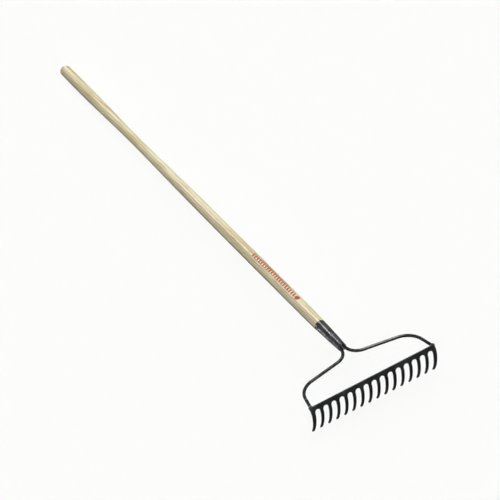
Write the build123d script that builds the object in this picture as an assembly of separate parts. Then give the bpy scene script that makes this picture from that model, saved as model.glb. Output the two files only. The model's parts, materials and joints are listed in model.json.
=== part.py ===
from build123d import *
import math
import os

# Bow rake: ash handle, steel ferrule, two round-rod bow arms and a pressed steel tine bar.
#
# Working frame, in millimetres: the handle's axis is Y, from the head (-Y) to the grip (+Y), with the
# ferrule's mouth at Y = 0. X runs along the tine bar and Z is up, away from the tines.
# Row frame: the same rake laid down on its tine tips and its grip end, with the origin under the middle
# of its bounding box. X stays along the bar and +Z is up from the floor.

# ---------------------------------------------------------------- driving dimensions

# Tine bar, pressed from plate
tine_count = 16
tine_pitch = 26.45
plate_thickness = 5.0
tip_thickness = 4.6
root_width = 9.5
tip_width = 6.8
end_flare = 2.4            # bar beyond the root of the last tine, which flares out to it
end_corner_radius = 13.0   # rounded top corner at each end of the bar
bar_ahead = 162.6          # mouth of the ferrule to the middle of the plate, along the handle's axis
bar_top_height = 3.9       # top of the bar above the handle's axis
bar_height = 12.2          # top of the bar to the top of a gullet, along the plate
bar_tilt = 22.0            # forward lean of the bar, in degrees
shoulder_radius = 45.0     # first bend of a tine, under the bar
shoulder_turn = 29.0       # its angle, in degrees
tine_radius = 155.0        # long curve of a tine
tine_turn = 26.8           # its angle, in degrees
edge_radius = 0.9          # rounded edges of the pressing

# Bow arms, bent from round rod
rod_diameter = 9.2
tang_length = 109.0        # length of rod behind the mouth of the ferrule
throat_ahead = 38.7        # corner of the first bend, ahead of the mouth
throat_radius = 44.7
bend_ahead = 73.0          # corner of the outer bend, ahead of the mouth
bend_radius = 65.0
end_splay = 11.3           # outward lean of the rod's end run, in degrees
weld_bead_radius = 2.3

# Ferrule, rolled from sheet
ferrule_length = 122.0
ferrule_top_diameter = 33.0
ferrule_wall = 1.2
ferrule_bulge = 0.7        # outward bow of the cone's side at half length

# Rivet
rivet_diameter = 4.0
rivet_head_diameter = 8.6
rivet_head_height = 2.1
rivet_station = 49.0       # mouth of the ferrule to the rivet

# Handle, turned from ash
handle_length = 1524.0
shaft_diameter = 36.0
shaft_straight = 295.0     # cylindrical stretch above the taper
rim_diameter = 34.4        # wood where it meets the ferrule
taper_length = 50.0        # from there up to the shaft
swell_diameter = 34.2
swell_station = 800.0      # stations are measured from the grip end
waist_diameter = 30.4
waist_station = 595.0
neck_diameter = 26.0
neck_station = 404.0
grip_diameter = 32.4
grip_station = 75.0
grip_end_radius = 15.6
mouth_recess = 27.0        # mouth of the ferrule to the end of the wood
rim_round = 1.0            # rounded edge of the wood at the ferrule

# Clearances
rivet_side_gap = 0.1       # rivet to each tang
fit_gap = 0.05             # tangs and rivet in their bores

# ---------------------------------------------------------------- derived sizes

rod_radius = rod_diameter / 2
tang_x = (rod_diameter + rivet_diameter) / 2 + rivet_side_gap
mouth_bore_radius = tang_x + rod_radius + fit_gap
mouth_radius = mouth_bore_radius + ferrule_wall
ferrule_top_radius = ferrule_top_diameter / 2
shaft_radius = shaft_diameter / 2
rim_radius = rim_diameter / 2
shaft_start_y = ferrule_length + taper_length
end_tine_x = (tine_count - 1) / 2 * tine_pitch
half_bar = end_tine_x + root_width / 2 + end_flare
arm_end_x = half_bar - rod_radius      # outer side of the rod flush with the end of the bar
grip_end_y = mouth_recess + handle_length
tilt = math.radians(bar_tilt)
bar_top = (-bar_ahead + bar_top_height * math.tan(tilt), bar_top_height)


def along(point, angle, length):
    """Point reached from a (Y, Z) point by going down, leaning forward by an angle in degrees."""
    lean = math.radians(angle)
    return (point[0] - length * math.sin(lean), point[1] - length * math.cos(lean))


def aside(point, angle, offset):
    """Point beside a (Y, Z) point of the plate's middle line: to the front if the offset is positive."""
    lean = math.radians(angle)
    return (point[0] - offset * math.cos(lean), point[1] + offset * math.sin(lean))


def around(point, angle, radius, turn):
    """End of an arc that starts at a (Y, Z) point, leaning forward by an angle, and curls backward."""
    centre = aside(point, angle, -radius)
    return aside(centre, angle - turn, radius)


# Middle line of the plate, seen from the side: straight bar, tight bend, long curve
bend_start = along(bar_top, bar_tilt, bar_height)
curve_lean = bar_tilt - shoulder_turn
curve_start = around(bend_start, bar_tilt, shoulder_radius, shoulder_turn)
curve_middle = around(curve_start, curve_lean, tine_radius, tine_turn / 2)
tip_lean = curve_lean - tine_turn
tip_centre = around(curve_start, curve_lean, tine_radius, tine_turn)
gullet_top = bend_start[1]
tip_bottom = tip_centre[1] - tip_thickness

# Tilt that lays the rake on its tine tips and its grip end, both round
grip_centre = (grip_end_y - grip_end_radius, 0.0)
rest_run = grip_centre[0] - tip_centre[0]
rest_rise = grip_centre[1] - tip_centre[1]
rest_span = math.hypot(rest_run, rest_rise)
rest_slope = math.degrees(math.atan2(rest_rise, rest_run))
rest_tilt = rest_slope - math.degrees(math.asin((grip_end_radius - tip_thickness / 2) / rest_span))


# ---------------------------------------------------------------- tine bar


def plate_profile():
    """Curved plate seen from the side, as a face in the YZ plane."""
    half = plate_thickness / 2
    tip_half = tip_thickness / 2
    mid_half = (half + tip_half) / 2
    bend_middle = around(bend_start, bar_tilt, shoulder_radius, shoulder_turn / 2)
    bend_middle_lean = bar_tilt - shoulder_turn / 2
    curve_middle_lean = curve_lean - tine_turn / 2

    def side(sign):
        top = aside(bar_top, bar_tilt, sign * half)
        bend = aside(bend_start, bar_tilt, sign * half)
        bend_mid = aside(bend_middle, bend_middle_lean, sign * half)
        curve = aside(curve_start, curve_lean, sign * half)
        curve_mid = aside(curve_middle, curve_middle_lean, sign * mid_half)
        tip = aside(tip_centre, tip_lean, sign * tip_half)
        return top, bend, bend_mid, curve, curve_mid, tip

    front = side(1)
    back = side(-1)
    tip_end = along(tip_centre, tip_lean, tip_half)
    with BuildSketch(Plane.YZ) as profile:
        with BuildLine():
            for points in (front, back):
                Line(points[0], points[1])
                ThreePointArc(points[1], points[2], points[3])
                ThreePointArc(points[3], points[4], points[5])
            Line(front[0], back[0])
            ThreePointArc(front[5], tip_end, back[5])
        make_face()
    return profile.sketch


def gap_outline(gullet_radius, half_tip_gap):
    """Gap between two tines seen from the front: a round gullet that widens towards the tips."""
    spring = gullet_top - gullet_radius
    with BuildSketch(Plane.XZ) as outline:
        with BuildLine():
            Line((-half_tip_gap, tip_bottom), (-gullet_radius, spring))
            ThreePointArc((-gullet_radius, spring), (0, gullet_top), (gullet_radius, spring))
            Line((gullet_radius, spring), (half_tip_gap, tip_bottom))
            Line((half_tip_gap, tip_bottom), (-half_tip_gap, tip_bottom))
        make_face()
    return outline.sketch


def front_outline():
    """Bar and tines as one shape seen from the front: the bar's ends slant down to the last tips."""
    tip_x = end_tine_x + tip_width / 2
    above_bar = bar_top_height + plate_thickness
    with BuildSketch(Plane.XZ) as outline:
        with BuildLine():
            Polyline(
                (half_bar, above_bar),
                (half_bar, gullet_top),
                (tip_x, tip_bottom),
                (-tip_x, tip_bottom),
                (-half_bar, gullet_top),
                (-half_bar, above_bar),
                close=True,
            )
        make_face()
        fillet(outline.vertices().sort_by(Axis.Y)[-2:], radius=end_corner_radius)
    return outline.sketch


def tine_bar():
    """Bar and tines, pressed from one plate with rounded gullets and edges."""
    plate = extrude(plate_profile(), amount=half_bar, both=True)
    depth = 2 * bar_ahead
    blank = plate & extrude(front_outline(), amount=depth, both=True)
    gap = gap_outline((tine_pitch - root_width) / 2, (tine_pitch - tip_width) / 2)
    cutter = extrude(gap, amount=depth, both=True)
    first_gap = -(tine_count - 2) / 2 * tine_pitch
    comb = blank - [Pos(X=first_gap + i * tine_pitch) * cutter for i in range(tine_count - 1)]
    return fillet(comb.edges(), radius=edge_radius)


# ---------------------------------------------------------------- bow arms and welds


def arm_path():
    """Middle line of the right arm: tang, throat bend, outer bend and end run."""
    splay = math.tan(math.radians(end_splay))
    bend_x = arm_end_x - splay * (bar_ahead - bend_ahead)
    points = [
        (tang_x, tang_length),
        (tang_x, -throat_ahead),
        (bend_x, -bend_ahead),
        (arm_end_x, -bar_ahead),
    ]
    return FilletPolyline(*points, radius=[throat_radius, bend_radius])


def in_front_of_back_face():
    """Everything ahead of the plane of the bar's back face."""
    size = 6 * bar_height
    face_point = aside((-bar_ahead, 0.0), bar_tilt, -plate_thickness / 2)
    block = Pos(Y=-size / 2) * Box(2 * half_bar + size, size, size)
    return Pos(Y=face_point[0], Z=face_point[1]) * Rot(X=-bar_tilt) * block


def right_arm():
    """Round rod from the tang in the handle to the back face of the bar."""
    path = arm_path()
    section = Plane(origin=path @ 0, z_dir=path % 0) * Circle(rod_radius)
    rod = sweep(section, path=path)
    rod = chamfer(rod.faces().sort_by(Axis.Y)[-1].edges(), length=rod_radius / 4)
    return rod - in_front_of_back_face()


def right_weld(arm):
    """Weld bead around the end of the right arm, on the back face of the bar."""
    lean = -plate_thickness / 2 / math.cos(tilt)
    splay = math.tan(math.radians(end_splay))
    centre = Pos(X=arm_end_x + lean * splay, Y=-bar_ahead - lean)
    ring = Torus(rod_radius + weld_bead_radius / 4, weld_bead_radius)
    bead = centre * Rot(X=-bar_tilt) * Rot(X=90) * ring
    return bead - arm - in_front_of_back_face()


# ---------------------------------------------------------------- ferrule and rivet


def cone_side(inset):
    """Side of the ferrule's cone moved inward by an inset: its points at the mouth, middle and top."""
    low = mouth_radius - inset
    high = ferrule_top_radius - inset
    middle = (low + high) / 2 + ferrule_bulge
    return (low, 0), (middle, ferrule_length / 2), (high, ferrule_length)


def cone_solid(inset):
    """Solid inside the ferrule's outer surface moved inward by an inset, from its mouth to its top."""
    low, middle, high = cone_side(inset)
    with BuildSketch(Plane.XY) as half:
        with BuildLine():
            Line((0, 0), low)
            ThreePointArc(low, middle, high)
            Line(high, (0, ferrule_length))
            Line((0, ferrule_length), (0, 0))
        make_face()
    return revolve(half.sketch, axis=Axis.Y)


def rivet_shank(radius):
    """Straight vertical pin through the ferrule at the rivet's station."""
    return Pos(Y=rivet_station) * Cylinder(radius, 2 * ferrule_top_diameter)


def ferrule():
    """Rolled cone with softened rims and its rivet holes."""
    outer = cone_side(0)
    inner = cone_side(ferrule_wall)
    with BuildSketch(Plane.XY) as wall:
        with BuildLine():
            ThreePointArc(*outer)
            Line(outer[2], inner[2])
            ThreePointArc(*inner)
            Line(inner[0], outer[0])
        make_face()
        fillet(wall.vertices(), radius=ferrule_wall / 4)
    shell = revolve(wall.sketch, axis=Axis.Y)
    return shell - rivet_shank(rivet_diameter / 2 + fit_gap)


def rivet_head():
    """Domed head with its rim at Z = 0 and a skirt below it."""
    radius = rivet_head_diameter / 2
    sphere_radius = (radius**2 + rivet_head_height**2) / (2 * rivet_head_height)
    dome = Pos(Z=rivet_head_height - sphere_radius) * Sphere(sphere_radius)
    dome = dome & Pos(Z=rivet_head_height / 2) * Box(
        rivet_head_diameter, rivet_head_diameter, rivet_head_height
    )
    skirt = Pos(Z=-ferrule_wall) * Cylinder(radius, 2 * ferrule_wall)
    return dome + skirt


def ferrule_rivet():
    """Rivet with a domed head on top of and under the ferrule."""
    outer = cone_solid(0)
    along_y = rivet_station / ferrule_length
    surface = mouth_radius + (ferrule_top_radius - mouth_radius) * along_y + ferrule_bulge
    top_head = Pos(Y=rivet_station, Z=surface) * rivet_head()
    heads = top_head + mirror(top_head, about=Plane.XY)
    length = 2 * surface
    shank = Pos(Y=rivet_station) * Cylinder(rivet_diameter / 2, length)
    return (heads - outer) + shank


# ---------------------------------------------------------------- handle


def handle_profile():
    """Half of the turned pole outside the ferrule, from the ferrule's top to the grip end."""
    straight_end = shaft_start_y + shaft_straight
    grip_base = grip_end_y - grip_end_radius
    crown = grip_end_radius * math.sqrt(0.5)
    stations = [
        (shaft_radius, straight_end),
        (swell_diameter / 2, grip_end_y - swell_station),
        (waist_diameter / 2, grip_end_y - waist_station),
        (neck_diameter / 2, grip_end_y - neck_station),
        (grip_diameter / 2, grip_end_y - grip_station),
        (grip_end_radius, grip_base),
    ]
    with BuildSketch(Plane.XY) as half:
        with BuildLine():
            Line((0, ferrule_length), (rim_radius, ferrule_length))
            Line((rim_radius, ferrule_length), (shaft_radius, shaft_start_y))
            Line((shaft_radius, shaft_start_y), (shaft_radius, straight_end))
            Spline(*stations, tangents=[(0, 1), (0, 1)])
            ThreePointArc((grip_end_radius, grip_base), (crown, grip_base + crown), (0, grip_end_y))
            Line((0, grip_end_y), (0, ferrule_length))
        make_face()
    return half.sketch


def handle():
    """Ash pole with its spigot in the ferrule, tang bores and rivet hole."""
    pole = revolve(handle_profile(), axis=Axis.Y)
    rim = pole.edges().filter_by(GeomType.CIRCLE).sort_by(Axis.Y)[0]
    pole = fillet(rim, radius=rim_round)
    below_wood = Pos(Y=mouth_recess / 2) * Box(ferrule_top_diameter, mouth_recess, ferrule_top_diameter)
    spigot = cone_solid(ferrule_wall) - below_wood
    bore_end = tang_length + fit_gap
    bore = Pos(X=tang_x, Y=bore_end / 2) * Rot(X=90) * Cylinder(rod_radius + fit_gap, bore_end)
    wood = pole + spigot
    wood = wood - bore - mirror(bore, about=Plane.YZ)
    return wood - rivet_shank(rivet_diameter / 2 + fit_gap)


# ---------------------------------------------------------------- assembly


def rest_pose(pole, comb):
    """Placement that lays the rake on the floor with the origin under the middle of its bounding box."""
    laid = Rot(X=-rest_tilt)
    back = (laid * pole).bounding_box().max.Y
    front = (laid * comb).bounding_box().min.Y
    floor = (laid * Pos(Y=tip_centre[0], Z=tip_centre[1])).position.Z - tip_thickness / 2
    return Pos(Y=-(back + front) / 2, Z=-floor) * laid


def build_parts():
    """All the rake's pieces in the working frame, by node name."""
    arm = right_arm()
    weld = right_weld(arm)
    return {
        "handle": handle(),
        "ferrule": ferrule(),
        "ferrule_rivet": ferrule_rivet(),
        "right_bow_arm": arm,
        "left_bow_arm": mirror(arm, about=Plane.YZ),
        "right_bow_weld": weld,
        "left_bow_weld": mirror(weld, about=Plane.YZ),
        "tine_bar": tine_bar(),
    }


pieces = build_parts()
placement = rest_pose(pieces["handle"], pieces["tine_bar"])
os.makedirs("parts", exist_ok=True)
for node, piece in pieces.items():
    placed = placement * piece
    placed.label = node
    export_step(placed, f"parts/{node}.step")
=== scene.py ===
"""Bow rake: an ash pole, a black steel ferrule, two round-rod bow arms and a pressed bar of tines.

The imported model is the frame. Its nodes keep their shape and get their real finish here. The weld beads are
remade with the lumps of a hand-laid weld, and a plain printed mark is laid on the pole.
"""
import json
import logging
import math
from dataclasses import dataclass
from enum import Enum
from typing import Any

import bmesh
import bpy
from mathutils import Matrix, Vector, noise


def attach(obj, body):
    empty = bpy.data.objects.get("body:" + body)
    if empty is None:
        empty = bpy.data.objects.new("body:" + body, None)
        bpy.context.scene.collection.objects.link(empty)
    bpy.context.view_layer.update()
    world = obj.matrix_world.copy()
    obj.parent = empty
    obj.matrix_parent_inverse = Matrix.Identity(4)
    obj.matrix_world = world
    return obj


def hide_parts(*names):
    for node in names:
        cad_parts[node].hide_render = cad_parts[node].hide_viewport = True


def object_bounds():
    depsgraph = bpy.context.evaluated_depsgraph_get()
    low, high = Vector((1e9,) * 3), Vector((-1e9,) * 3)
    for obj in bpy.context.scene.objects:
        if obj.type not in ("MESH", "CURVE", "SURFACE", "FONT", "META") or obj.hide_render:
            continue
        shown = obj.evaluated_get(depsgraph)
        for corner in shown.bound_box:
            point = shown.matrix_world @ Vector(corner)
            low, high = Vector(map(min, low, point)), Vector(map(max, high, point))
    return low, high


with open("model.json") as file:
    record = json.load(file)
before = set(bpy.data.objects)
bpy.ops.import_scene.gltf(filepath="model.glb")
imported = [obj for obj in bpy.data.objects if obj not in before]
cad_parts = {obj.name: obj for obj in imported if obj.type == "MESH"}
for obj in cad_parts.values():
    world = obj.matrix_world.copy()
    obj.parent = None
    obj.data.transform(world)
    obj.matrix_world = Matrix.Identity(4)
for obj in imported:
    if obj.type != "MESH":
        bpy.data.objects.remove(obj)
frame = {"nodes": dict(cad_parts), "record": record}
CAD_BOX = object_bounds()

LOG = logging.getLogger("bow_rake")
BODY = "root"
MM = 0.001
Rgba = tuple[float, float, float, float]
DISC_CELLS = 14       # fine enough for the film to follow the pole's round
STROKE_CELLS = 8


class Slot(Enum):
    """The record's material slots for the pieces that are made here."""

    WELD = "weld_metal"
    INK = "printed_ink"


class Side(Enum):
    """The two sides of the head, as its nodes are named."""

    LEFT = "left"
    RIGHT = "right"


# ------------------------------------------------------------------ colour and node helpers


def linear(colour: str) -> Rgba:
    """Turns an sRGB hex colour into linear light.

    Args:
        colour: Colour such as "#E3D3A6".

    Returns:
        Red, green, blue and an alpha of 1, in linear light.
    """
    channels = [int(colour[i:i + 2], 16) / 255 for i in (1, 3, 5)]
    low_limit, low_slope, offset, power = 0.04045, 12.92, 0.055, 2.4
    red, green, blue = (
        c / low_slope if c <= low_limit else ((c + offset) / (1 + offset)) ** power for c in channels
    )
    return red, green, blue, 1.0


def add_node(tree: bpy.types.NodeTree, kind: str, settings: dict[str, Any] | None = None,
             stops: tuple[tuple[float, Rgba], ...] = (), **inputs: Any) -> bpy.types.Node:
    """Adds one node with its settings, its socket values and its links.

    Args:
        tree: Node tree that gets the node.
        kind: Blender's name for the node's type.
        settings: Values of the node's own properties.
        stops: Position and linear colour of each stop of a colour ramp.
        **inputs: A value or an output socket for each input, by the socket's name with underscores.

    Returns:
        The new node.
    """
    node = tree.nodes.new(kind)
    for name, value in (settings or {}).items():
        setattr(node, name, value)
    for i, (position, colour) in enumerate(stops):
        elements = node.color_ramp.elements
        element = elements[i] if i < len(elements) else elements.new(position)
        element.position = position
        element.color = colour
    by_name: dict[str, bpy.types.NodeSocket] = {}
    for socket in node.inputs:
        if socket.enabled and socket.name.replace(" ", "_") not in by_name:
            by_name[socket.name.replace(" ", "_")] = socket
    for name, value in inputs.items():
        socket = by_name[name]
        if isinstance(value, bpy.types.NodeSocket):
            tree.links.new(value, socket)
        else:
            socket.default_value = value
    return node


def new_material(name: str) -> tuple[bpy.types.Material, bpy.types.NodeTree, bpy.types.Node]:
    """Makes an empty material with its output node.

    Args:
        name: The material's name.

    Returns:
        The material, its node tree and its output node.
    """
    material = bpy.data.materials.new(name)
    material.use_nodes = True
    material.node_tree.nodes.clear()
    output = add_node(material.node_tree, "ShaderNodeOutputMaterial")
    return material, material.node_tree, output


def mixed_colour(mix: bpy.types.Node) -> bpy.types.NodeSocket:
    """The one output of a Mix node that is in use: it has one for each kind of value."""
    return next(socket for socket in mix.outputs if socket.enabled)


# ------------------------------------------------------------------ the pole's axis


@dataclass(frozen=True)
class PoleAxis:
    """Middle line of the handle and ferrule, taken from the record's clip mount.

    Attributes:
        point: A point on the axis, in metres.
        direction: Unit vector from the head to the grip.
        radius: Radius of the cylindrical stretch, in metres.
        length: Length of the cylindrical stretch, in metres.
    """

    point: Vector
    direction: Vector
    radius: float
    length: float

    @classmethod
    def from_record(cls, record: dict[str, Any]) -> "PoleAxis":
        """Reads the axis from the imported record.

        Args:
            record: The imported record.

        Returns:
            The pole's axis.
        """
        mount = record["mounts"][0]
        return cls(
            point=Vector(mount["pos_m"]),
            direction=Vector(mount["axis"]).normalized(),
            radius=mount["dims"]["r_mm"] * MM,
            length=mount["dims"]["length_mm"] * MM,
        )

    @property
    def tilt(self) -> float:
        """Angle by which the pole slopes down to the grip, in radians."""
        return math.atan2(-self.direction.z, self.direction.y)

    def station(self, distance: float) -> Vector:
        """Point on the axis at a distance from the ferrule's end of the cylindrical stretch."""
        return self.point + self.direction * (distance - self.length / 2)

    def to_pole(self) -> Matrix:
        """Matrix that takes the row frame to the pole's own: Y along the axis, origin at its point."""
        return Matrix.Rotation(self.tilt, 4, "X") @ Matrix.Translation(-self.point)


# ------------------------------------------------------------------ finishes


@dataclass(frozen=True)
class LacqueredAsh:
    """Straight-grained ash, turned, sanded and dipped in clear lacquer.

    To the eye it is pale cream, with soft tan growth rings that open into long flames where the pole is
    turned thinner, short dark pores along the grain and a calm gloss over it all.
    """

    pale: str = "#EBE3BF"
    tan: str = "#BC9D62"
    olive: str = "#B7A467"
    pore: str = "#7E6238"
    ring_start: float = 0.55          # share of a ring that is pale spring wood
    ring_peak: float = 0.86           # where the summer wood is darkest
    ring_spacing_mm: float = 5.5      # slow-grown ash has 2 to 3 mm; drawn at twice that so that it shows
    pith_side_mm: float = 34.0        # the pole is sawn beside the heart, so its rings cross it slanting
    pith_below_mm: float = 46.0
    waver_mm: float = 4.0             # how far the fibres wander sideways
    waver_width_mm: float = 32.0
    waver_length_mm: float = 260.0
    pore_width_mm: float = 2.2        # real pores are 0.3 mm wide; drawn coarser so that they show
    pore_length_mm: float = 46.0
    cloud_width_mm: float = 24.0
    cloud_length_mm: float = 170.0
    cloud_weight: float = 0.5
    pore_weight: float = 0.5
    roughness: float = 0.42
    pore_depth_mm: float = 0.2
    coat: float = 0.55
    coat_roughness: float = 0.25

    def material(self, axis: PoleAxis) -> bpy.types.Material:
        """Builds the material around the pole's own axis.

        Args:
            axis: The pole's axis, along which the grain runs.

        Returns:
            The finished material.
        """
        material, tree, output = new_material("turned_ash_clear_lacquer")
        grain = self._grain_coordinates(tree, axis)
        waver = self._stretched_noise(tree, grain, self.waver_width_mm, self.waver_length_mm, detail=2.0)
        bent = self._bend(tree, grain, waver)
        rings = self._rings(tree, bent)
        pores = self._stretched_noise(tree, bent, self.pore_width_mm, self.pore_length_mm, detail=3.0)
        clouds = self._stretched_noise(tree, grain, self.cloud_width_mm, self.cloud_length_mm, detail=3.0)
        colour = self._colour(tree, rings, pores, clouds)
        bump = add_node(tree, "ShaderNodeBump", Strength=0.12, Distance=self.pore_depth_mm * MM,
                        Height=pores.outputs["Fac"])
        gloss = add_node(tree, "ShaderNodeMapRange", Value=pores.outputs["Fac"], From_Min=0.3, From_Max=0.7,
                         To_Min=self.roughness + 0.06, To_Max=self.roughness - 0.04)
        shader = add_node(
            tree, "ShaderNodeBsdfPrincipled", Base_Color=colour, Roughness=gloss.outputs["Result"],
            IOR=1.5, Coat_Weight=self.coat, Coat_Roughness=self.coat_roughness, Coat_IOR=1.5,
            Normal=bump.outputs["Normal"],
        )
        tree.links.new(shader.outputs["BSDF"], output.inputs["Surface"])
        return material

    def _grain_coordinates(self, tree: bpy.types.NodeTree, axis: PoleAxis) -> bpy.types.NodeSocket:
        """Object coordinates turned so that Y runs along the pole.

        Args:
            tree: The material's node tree.
            axis: The pole's axis.

        Returns:
            The coordinates' socket.
        """
        place = axis.to_pole()
        coordinates = add_node(tree, "ShaderNodeTexCoord")
        mapping = add_node(
            tree, "ShaderNodeMapping", Vector=coordinates.outputs["Object"],
            Rotation=(axis.tilt, 0.0, 0.0), Location=place.translation[:],
        )
        return mapping.outputs["Vector"]

    def _stretched_noise(self, tree: bpy.types.NodeTree, vector: bpy.types.NodeSocket, width_mm: float,
                         length_mm: float, detail: float) -> bpy.types.Node:
        """Noise that is drawn out along the grain.

        Args:
            tree: The material's node tree.
            vector: Grain coordinates.
            width_mm: Size of its features across the grain.
            length_mm: Size of its features along the grain.
            detail: Octaves of finer noise.

        Returns:
            The noise node.
        """
        across = 1 / (width_mm * MM)
        along = 1 / (length_mm * MM)
        scaled = add_node(tree, "ShaderNodeMapping", Vector=vector, Scale=(across, along, across))
        return add_node(tree, "ShaderNodeTexNoise", Vector=scaled.outputs["Vector"], Scale=1.0,
                        Detail=detail, Roughness=0.55)

    def _bend(self, tree: bpy.types.NodeTree, vector: bpy.types.NodeSocket,
              waver: bpy.types.Node) -> bpy.types.NodeSocket:
        """Grain coordinates pushed sideways by a slow noise, as fibres wander in a real board.

        Args:
            tree: The material's node tree.
            vector: Grain coordinates.
            waver: Noise that gives the push.

        Returns:
            The bent coordinates' socket.
        """
        centred = add_node(tree, "ShaderNodeVectorMath", {"operation": "SUBTRACT"})
        tree.links.new(waver.outputs["Color"], centred.inputs[0])
        centred.inputs[1].default_value = (0.5, 0.5, 0.5)
        push = add_node(tree, "ShaderNodeVectorMath", {"operation": "SCALE"}, Scale=2 * self.waver_mm * MM)
        tree.links.new(centred.outputs["Vector"], push.inputs[0])
        bent = add_node(tree, "ShaderNodeVectorMath", {"operation": "ADD"})
        tree.links.new(vector, bent.inputs[0])
        tree.links.new(push.outputs["Vector"], bent.inputs[1])
        return bent.outputs["Vector"]

    def _rings(self, tree: bpy.types.NodeTree, vector: bpy.types.NodeSocket) -> bpy.types.NodeSocket:
        """Growth rings around a heart that lies beside the pole.

        Args:
            tree: The material's node tree.
            vector: Bent grain coordinates.

        Returns:
            The ring pattern's factor socket, from 0 in spring wood to 1 in summer wood.
        """
        pith = add_node(
            tree, "ShaderNodeMapping", Vector=vector,
            Location=(self.pith_side_mm * MM, 0.0, self.pith_below_mm * MM),
            Rotation=(math.radians(0.5), 0.0, math.radians(-0.4)),
        )
        wave_period = 2 * math.pi / 20      # distance between rings at a scale of 1
        wave = add_node(
            tree, "ShaderNodeTexWave",
            {"wave_type": "RINGS", "rings_direction": "Y", "wave_profile": "SAW"},
            Vector=pith.outputs["Vector"], Scale=wave_period / (self.ring_spacing_mm * MM),
            Distortion=0.6, Detail=2.0, Detail_Scale=1.0,
        )
        return wave.outputs["Fac"]

    def _colour(self, tree: bpy.types.NodeTree, rings: bpy.types.NodeSocket, pores: bpy.types.Node,
                clouds: bpy.types.Node) -> bpy.types.NodeSocket:
        """Colour of the wood from its rings, pores and slow clouds.

        Args:
            tree: The material's node tree.
            rings: Ring pattern.
            pores: Fine noise along the grain.
            clouds: Slow noise.

        Returns:
            The colour socket.
        """
        pale = linear(self.pale)
        ring_stops = ((0.0, pale), (self.ring_start, pale), (self.ring_peak, linear(self.tan)), (1.0, pale))
        ring_colour = add_node(tree, "ShaderNodeValToRGB", stops=ring_stops, Fac=rings)
        cloud_weight = add_node(tree, "ShaderNodeMapRange", Value=clouds.outputs["Fac"], From_Min=0.42,
                                From_Max=0.66, To_Max=self.cloud_weight)
        clouded = add_node(
            tree, "ShaderNodeMix", {"data_type": "RGBA"}, Factor=cloud_weight.outputs["Result"],
            A=ring_colour.outputs["Color"], B=linear(self.olive),
        )
        pore_weight = add_node(tree, "ShaderNodeMapRange", Value=pores.outputs["Fac"], From_Min=0.5,
                               From_Max=0.72, To_Max=self.pore_weight)
        pored = add_node(
            tree, "ShaderNodeMix", {"data_type": "RGBA"}, Factor=pore_weight.outputs["Result"],
            A=mixed_colour(clouded), B=linear(self.pore),
        )
        return mixed_colour(pored)


@dataclass(frozen=True)
class BakedEnamel:
    """Black enamel, dipped and baked on steel.

    To the eye it is a soft black that goes grey where it catches the light, with the faint orange peel of
    dipped paint and slow changes of gloss from handling.
    """

    name: str
    black: str = "#0D0E0F"
    worn: str = "#1A1B1C"
    gloss: float = 0.35               # specular level: half-gloss paint reflects less than a clear coat
    roughness: float = 0.32
    gloss_change: float = 0.1
    peel_mm: float = 1.6              # size of the orange peel
    peel_depth_mm: float = 0.02
    handling_mm: float = 32.0         # size of the patches of changed gloss
    coat: float = 0.0                 # a last clear dip, on the rolled pieces only
    coat_roughness: float = 0.22

    def material(self) -> bpy.types.Material:
        """Builds the material.

        Returns:
            The finished material.
        """
        material, tree, output = new_material(self.name)
        coordinates = add_node(tree, "ShaderNodeTexCoord").outputs["Object"]
        peel = add_node(tree, "ShaderNodeTexNoise", Vector=coordinates, Scale=1 / (self.peel_mm * MM),
                        Detail=2.0, Roughness=0.5)
        handling = add_node(tree, "ShaderNodeTexNoise", Vector=coordinates,
                            Scale=1 / (self.handling_mm * MM), Detail=4.0, Roughness=0.6)
        wear = ((0.4, linear(self.black)), (0.75, linear(self.worn)))
        colour = add_node(tree, "ShaderNodeValToRGB", stops=wear, Fac=handling.outputs["Fac"])
        gloss = add_node(tree, "ShaderNodeMapRange", Value=handling.outputs["Fac"], From_Min=0.3,
                         From_Max=0.7, To_Min=self.roughness - self.gloss_change / 2,
                         To_Max=self.roughness + self.gloss_change / 2)
        bump = add_node(tree, "ShaderNodeBump", Strength=0.35, Distance=self.peel_depth_mm * MM,
                        Height=peel.outputs["Fac"])
        shader = add_node(
            tree, "ShaderNodeBsdfPrincipled", Base_Color=colour.outputs["Color"],
            Roughness=gloss.outputs["Result"], IOR=1.5, Specular_IOR_Level=self.gloss,
            Coat_Weight=self.coat, Coat_Roughness=self.coat_roughness, Normal=bump.outputs["Normal"],
        )
        tree.links.new(shader.outputs["BSDF"], output.inputs["Surface"])
        return material


@dataclass(frozen=True)
class ScreenPrintedInk:
    """Red ink, screen-printed on the lacquer.

    To the eye it is a flat brick red with a slightly uneven film.
    """

    thick: str = "#AC2A20"
    thin: str = "#BE3E32"
    film_mm: float = 3.0              # size of the uneven patches of the film
    film_depth_mm: float = 0.02
    roughness: float = 0.4

    def material(self) -> bpy.types.Material:
        """Builds the material.

        Returns:
            The finished material.
        """
        material, tree, output = new_material("red_screen_printed_ink")
        coordinates = add_node(tree, "ShaderNodeTexCoord").outputs["Object"]
        film = add_node(tree, "ShaderNodeTexNoise", Vector=coordinates, Scale=1 / (self.film_mm * MM),
                        Detail=3.0, Roughness=0.6)
        cover = ((0.4, linear(self.thick)), (0.7, linear(self.thin)))
        colour = add_node(tree, "ShaderNodeValToRGB", stops=cover, Fac=film.outputs["Fac"])
        bump = add_node(tree, "ShaderNodeBump", Strength=0.2, Distance=self.film_depth_mm * MM,
                        Height=film.outputs["Fac"])
        shader = add_node(tree, "ShaderNodeBsdfPrincipled", Base_Color=colour.outputs["Color"],
                          Roughness=self.roughness, IOR=1.5, Normal=bump.outputs["Normal"])
        tree.links.new(shader.outputs["BSDF"], output.inputs["Surface"])
        return material


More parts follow.
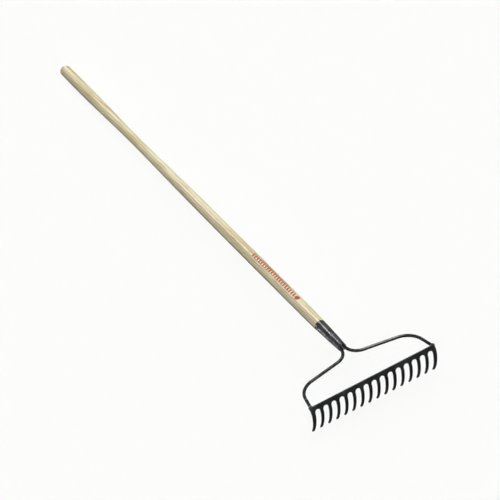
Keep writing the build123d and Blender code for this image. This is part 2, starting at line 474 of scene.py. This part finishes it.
@dataclass(frozen=True)
class StudioPaper:
    """Pale matt paper of the studio floor, with a barely seen tooth."""

    pale: str = "#F4F4F3"
    dim: str = "#EFEFEE"
    tooth_mm: float = 2.5             # real tooth is under 1 mm; drawn coarser so that it shows
    roughness: float = 0.9

    def material(self) -> bpy.types.Material:
        """Builds the material.

        Returns:
            The finished material.
        """
        material, tree, output = new_material("matt_studio_paper")
        coordinates = add_node(tree, "ShaderNodeTexCoord").outputs["Object"]
        tooth = add_node(tree, "ShaderNodeTexNoise", Vector=coordinates, Scale=1 / (self.tooth_mm * MM),
                         Detail=2.0)
        shades = ((0.3, linear(self.dim)), (0.7, linear(self.pale)))
        colour = add_node(tree, "ShaderNodeValToRGB", stops=shades, Fac=tooth.outputs["Fac"])
        shader = add_node(tree, "ShaderNodeBsdfPrincipled", Base_Color=colour.outputs["Color"],
                          Roughness=self.roughness, IOR=1.45)
        tree.links.new(shader.outputs["BSDF"], output.inputs["Surface"])
        return material


def dress(node: str, material: bpy.types.Material) -> None:
    """Gives a node of the frame its finish.

    Args:
        node: Name of the node.
        material: Its finish.
    """
    slots = frame["nodes"][node].material_slots
    for slot in slots:
        slot.material = material
    LOG.info("dressed %s in %s", node, material.name)


def finished_piece(name: str, mesh: bmesh.types.BMesh, material: bpy.types.Material) -> bpy.types.Object:
    """Turns a bmesh into a piece that rides with the rake.

    Args:
        name: Name of the piece.
        mesh: Its shape, in place in the row frame. It is freed.
        material: Its finish.

    Returns:
        The new object.
    """
    data = bpy.data.meshes.new(name)
    mesh.to_mesh(data)
    mesh.free()
    data.materials.append(material)
    data.shade_smooth()
    piece = bpy.data.objects.new(name, data)
    bpy.context.scene.collection.objects.link(piece)
    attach(piece, BODY)
    LOG.info("built %s: %d faces", name, len(data.polygons))
    return piece


# ------------------------------------------------------------------ sub-assemblies


@dataclass
class Handle:
    """Turned ash pole with a plain printed mark on top of its thickest stretch.

    Attributes:
        axis: The pole's middle line.
        wood: Finish of the pole.
        ink: Finish of the mark.
        mark_start_mm: Start of the cylindrical stretch to the mark's disc.
        mark_disc_mm: Diameter of the mark's disc.
        first_stroke_mm: Edge of the disc to the middle of the first stroke.
        stroke_count: Number of slanted strokes behind the disc.
        stroke_pitch_mm: Distance from one stroke to the next.
        stroke_width_mm: Width of a stroke, along the pole.
        mark_height_mm: Height of the strokes, measured round the pole.
        mark_turn: Turn of the mark from the top of the pole to the right, in degrees.
        stroke_slant: Lean of a stroke, as run along the pole over rise round it.
        ink_thickness_mm: Thickness of the printed film.
    """

    axis: PoleAxis
    wood: LacqueredAsh
    ink: ScreenPrintedInk
    mark_start_mm: float = 73.0
    mark_disc_mm: float = 16.5
    first_stroke_mm: float = 8.25
    stroke_count: int = 21
    stroke_pitch_mm: float = 11.0
    stroke_width_mm: float = 6.3
    mark_height_mm: float = 13.0
    mark_turn: float = 5.0
    stroke_slant: float = 0.4
    ink_thickness_mm: float = 0.12

    def build(self) -> None:
        """Dresses the pole and lays the printed mark on it."""
        dress("handle", self.wood.material(self.axis))
        finished_piece("printed_mark", self._mark_mesh(), self.ink.material())

    def _mark_mesh(self) -> bmesh.types.BMesh:
        """Builds the flat mark and wraps it on the pole.

        Returns:
            The mark's mesh in place, as a thin closed film.
        """
        flat = bmesh.new()
        self._add_disc(flat)
        first = self.mark_disc_mm / 2 + self.first_stroke_mm
        for i in range(self.stroke_count):
            self._add_stroke(flat, first + i * self.stroke_pitch_mm)
        self._wrap(flat)
        bmesh.ops.recalc_face_normals(flat, faces=flat.faces[:])
        bmesh.ops.solidify(flat, geom=flat.faces[:], thickness=-self.ink_thickness_mm * MM)
        bmesh.ops.recalc_face_normals(flat, faces=flat.faces[:])      # the closed film faces outwards
        return flat

    def _add_disc(self, mesh: bmesh.types.BMesh) -> None:
        """Adds the disc to the flat mark, as a square grid drawn out to a circle.

        Args:
            mesh: The flat mark, in millimetres.
        """
        radius = self.mark_disc_mm / 2
        grid = bmesh.ops.create_grid(mesh, x_segments=DISC_CELLS, y_segments=DISC_CELLS, size=1.0)
        for vertex in grid["verts"]:
            u, v = vertex.co.x, vertex.co.y
            vertex.co.x = radius * u * math.sqrt(1 - v * v / 2)
            vertex.co.y = radius * v * math.sqrt(1 - u * u / 2)

    def _add_stroke(self, mesh: bmesh.types.BMesh, middle: float) -> None:
        """Adds one slanted stroke to the flat mark, in millimetres.

        Args:
            mesh: The flat mark, Y along the pole and X round it.
            middle: Distance of the stroke's middle from the disc's.
        """
        shape = Matrix(((self.mark_height_mm, 0, 0, 0),
                        (self.stroke_slant * self.mark_height_mm, self.stroke_width_mm, 0, middle),
                        (0, 0, 1, 0),
                        (0, 0, 0, 1)))
        bmesh.ops.create_grid(mesh, x_segments=STROKE_CELLS, y_segments=2, size=0.5, matrix=shape)

    def _wrap(self, mesh: bmesh.types.BMesh) -> None:
        """Wraps the flat mark round the pole's top, in the row frame.

        Args:
            mesh: The flat mark, in millimetres. It is changed in place.
        """
        radius = self.axis.radius + self.ink_thickness_mm * MM / 4      # just clear of the wood
        from_pole = self.axis.to_pole().inverted()
        start = self.mark_start_mm * MM - self.axis.length / 2
        for vertex in mesh.verts:
            angle = math.radians(self.mark_turn) + vertex.co.x * MM / radius
            along = start + vertex.co.y * MM
            vertex.co = from_pole @ Vector((radius * math.sin(angle), along, radius * math.cos(angle)))


@dataclass
class Head:
    """Ferrule, rivet, bow arms and tine bar, all in baked enamel, and the two weld beads.

    Attributes:
        pressed: Finish of the pressed tine bar.
        rod: Finish of the bent arms.
        rolled: Finish of the rolled ferrule and its rivet, a lighter black that paints in the studio's
            reflection.
        bead: Finish of the weld beads, a grey that paints in the glint on their curved faces.
        lump_mm: Height of the lumps on a weld bead.
        lump_size_mm: Size of the lumps.
    """

    pressed: BakedEnamel
    rod: BakedEnamel
    rolled: BakedEnamel
    bead: BakedEnamel
    lump_mm: float = 0.45
    lump_size_mm: float = 2.2

    def build(self) -> None:
        """Dresses the head's nodes and builds its weld beads."""
        rolled = self.rolled.material()
        dress("ferrule", rolled)
        dress("ferrule_rivet", rolled)
        dress("tine_bar", self.pressed.material())
        rod = self.rod.material()
        bead = self.bead.material()
        for side in Side:
            dress(f"{side.value}_bow_arm", rod)
            piece = finished_piece(f"{side.value}_weld_bead", self._bead_mesh(side), bead)
            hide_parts(f"{side.value}_bow_weld")

    def _bead_mesh(self, side: Side) -> bmesh.types.BMesh:
        """Weld bead with the lumps of a hand-laid weld.

        Args:
            side: Which end of the bar it is on.

        Returns:
            The bead's mesh in place.
        """
        source = frame["nodes"][f"{side.value}_bow_weld"].data
        bead = bmesh.new()
        bead.from_mesh(source)
        bmesh.ops.remove_doubles(bead, verts=bead.verts[:], dist=0.001 * MM)
        bead.normal_update()
        scale = 1 / (self.lump_size_mm * MM)
        for vertex in bead.verts:
            lump = noise.noise(vertex.co * scale)
            vertex.co -= vertex.normal * (0.5 - 0.5 * lump) * self.lump_mm * MM
        bead.normal_update()
        return bead


# ------------------------------------------------------------------ studio


@dataclass(frozen=True)
class StudioLight:
    """One large, far studio light, which lights the whole rake evenly and casts no shadow.

    Attributes:
        name: Name of the light.
        azimuth: Its bearing round the rake in degrees, 0 in front of the head and 90 on the right.
        elevation: Its height above the floor in degrees.
        spread: Angle that it covers as seen from the rake, in degrees. A wide one has a broad gleam.
        strength: Its strength in watts per square metre.
        gleam_only: Whether it shows only as a gleam on glossy surfaces and lights nothing else.
    """

    name: str
    azimuth: float
    elevation: float
    spread: float
    strength: float
    gleam_only: bool = False

    def place(self) -> None:
        """Adds the light to the scene."""
        data = bpy.data.lights.new(self.name, "SUN")
        data.angle = math.radians(self.spread)
        data.energy = self.strength
        data.use_shadow = False
        data.cycles.use_multiple_importance_sampling = False      # or a wide light casts half a shadow
        light = bpy.data.objects.new(self.name, data)
        light.visible_diffuse = not self.gleam_only
        light.rotation_mode = "QUATERNION"
        light.rotation_quaternion = (-bearing(self.azimuth, self.elevation)).to_track_quat("-Z", "Y")
        bpy.context.scene.collection.objects.link(light)


def bearing(azimuth: float, elevation: float) -> Vector:
    """Unit vector from the rake towards a light or camera.

    Args:
        azimuth: Degrees round the rake: 0 is in front of the head, looking along +Y, and 90 on the right.
        elevation: Degrees above the floor.

    Returns:
        The unit vector.
    """
    a, e = math.radians(azimuth), math.radians(elevation)
    return Vector((math.sin(a) * math.cos(e), -math.cos(a) * math.cos(e), math.sin(e)))


@dataclass
class Studio:
    """Pale floor, soft light and a long-lens camera.

    Attributes:
        axis: The pole's middle line, which the camera is aimed by.
        camera_azimuth: Bearing of the camera, in degrees.
        camera_elevation: Height of the camera, in degrees.
        camera_roll: Turn of the camera about its own line of sight, in degrees.
        lens_mm: Focal length.
        field: Width of the view at the aim point, in metres.
        aim_station: Point that it looks at, as a distance along the pole from the ferrule, in metres.
        aim_right: Shift of that point to the right in the view, in metres.
        aim_up: Shift of that point upward in the view, in metres.
        floor_size: Side of the floor, in metres.
        light_above: Strength of the surround above the floor.
        light_below: Strength of the surround below it, which lights the rake's underside.
    """

    axis: PoleAxis
    camera_azimuth: float = -24.755
    camera_elevation: float = 43.333
    camera_roll: float = -9.514
    lens_mm: float = 1400.0
    field: float = 1.4051
    aim_station: float = 0.318
    aim_right: float = -0.0082
    aim_up: float = 0.0228
    floor_size: float = 60.0
    light_above: float = 0.2
    light_below: float = 0.15

    def build(self) -> None:
        """Adds the floor, the lights and the camera."""
        self._floor()
        self._world()
        for light in self._lights():
            light.place()
        self._camera()

    def _lights(self) -> list[StudioLight]:
        """Lists the studio's lights.

        Returns:
            The lights, none of them placed yet.
        """
        return [
            StudioLight("key", azimuth=90.0, elevation=48.0, spread=60.0, strength=1.65),
            StudioLight("fill", azimuth=-70.0, elevation=40.0, spread=60.0, strength=0.55),
            StudioLight("top", azimuth=90.0, elevation=80.0, spread=16.0, strength=0.9),
            StudioLight("back", azimuth=176.0, elevation=45.5, spread=8.0, strength=0.45),
            StudioLight("rod_gleam", azimuth=90.0, elevation=80.0, spread=30.0, strength=6.0,
                        gleam_only=True),
            StudioLight("flank_gleam", azimuth=-131.0, elevation=-12.0, spread=36.0, strength=0.45,
                        gleam_only=True),
        ]

    def _floor(self) -> None:
        """Adds the floor at the rake's resting height."""
        mesh = bmesh.new()
        bmesh.ops.create_grid(mesh, x_segments=1, y_segments=1, size=self.floor_size / 2)
        data = bpy.data.meshes.new("studio_floor")
        mesh.to_mesh(data)
        mesh.free()
        data.materials.append(StudioPaper().material())
        floor = bpy.data.objects.new("studio_floor", data)
        floor.location.z = CAD_BOX[0].z
        floor.visible_diffuse = False      # the paper throws no light or gleam back on the rake
        floor.visible_glossy = False
        bpy.context.scene.collection.objects.link(floor)

    def _world(self) -> None:
        """Sets a plain surround, white above the floor and grey below it."""
        world = bpy.data.worlds.new("studio_surround")
        world.use_nodes = True
        tree = world.node_tree
        tree.nodes.clear()
        output = add_node(tree, "ShaderNodeOutputWorld")
        direction = add_node(tree, "ShaderNodeTexCoord").outputs["Generated"]
        height = add_node(tree, "ShaderNodeSeparateXYZ", Vector=direction).outputs["Z"]
        strength = add_node(tree, "ShaderNodeMapRange", Value=height, From_Min=-0.1, From_Max=0.1,
                            To_Min=self.light_below, To_Max=self.light_above)
        background = add_node(tree, "ShaderNodeBackground", Color=linear("#F6F7F8"),
                              Strength=strength.outputs["Result"])
        tree.links.new(background.outputs["Background"], output.inputs["Surface"])
        bpy.context.scene.world = world
        bpy.context.scene.view_settings.view_transform = "Standard"

    def _camera(self) -> None:
        """Adds the camera with a slight roll."""
        data = bpy.data.cameras.new("camera")
        data.lens = self.lens_mm
        distance = self.field * self.lens_mm / data.sensor_width
        data.clip_start = distance / 100
        data.clip_end = distance * 4
        back = bearing(self.camera_azimuth, self.camera_elevation)
        turn = (-back).to_track_quat("-Z", "Y").to_matrix() @ Matrix.Rotation(
            math.radians(self.camera_roll), 3, "Z")
        aim = self.axis.station(self.aim_station) + turn @ Vector((self.aim_right, self.aim_up, 0.0))
        camera = bpy.data.objects.new("camera", data)
        camera.matrix_world = Matrix.Translation(aim + back * distance) @ turn.to_4x4()
        bpy.context.scene.collection.objects.link(camera)
        bpy.context.scene.camera = camera


def main() -> None:
    """Builds the rake's looks and its studio."""
    logging.basicConfig(level=logging.INFO, format="%(name)s: %(message)s")
    axis = PoleAxis.from_record(frame["record"])
    Handle(axis, LacqueredAsh(), ScreenPrintedInk()).build()
    Head(
        pressed=BakedEnamel(name="pressed_steel_enamel", black="#1D1E20", worn="#38393B", roughness=0.45,
                            peel_mm=2.0),
        rod=BakedEnamel(name="steel_rod_enamel", roughness=0.26),
        # a lighter black than the rods', a painted reflection of the pale studio on the same black paint
        rolled=BakedEnamel(name="rolled_steel_enamel", black="#2B2C2E", worn="#46474A", gloss=0.5,
                           roughness=0.3, coat=0.5),
        # grey all over, a painted highlight that stands in for the glint of light on the curved black beads
        bead=BakedEnamel(name="weld_bead_enamel", black="#5E5F61", worn="#8A8B8D", roughness=0.3),
    ).build()
    Studio(axis).build()


if __name__ == "__main__":
    main()
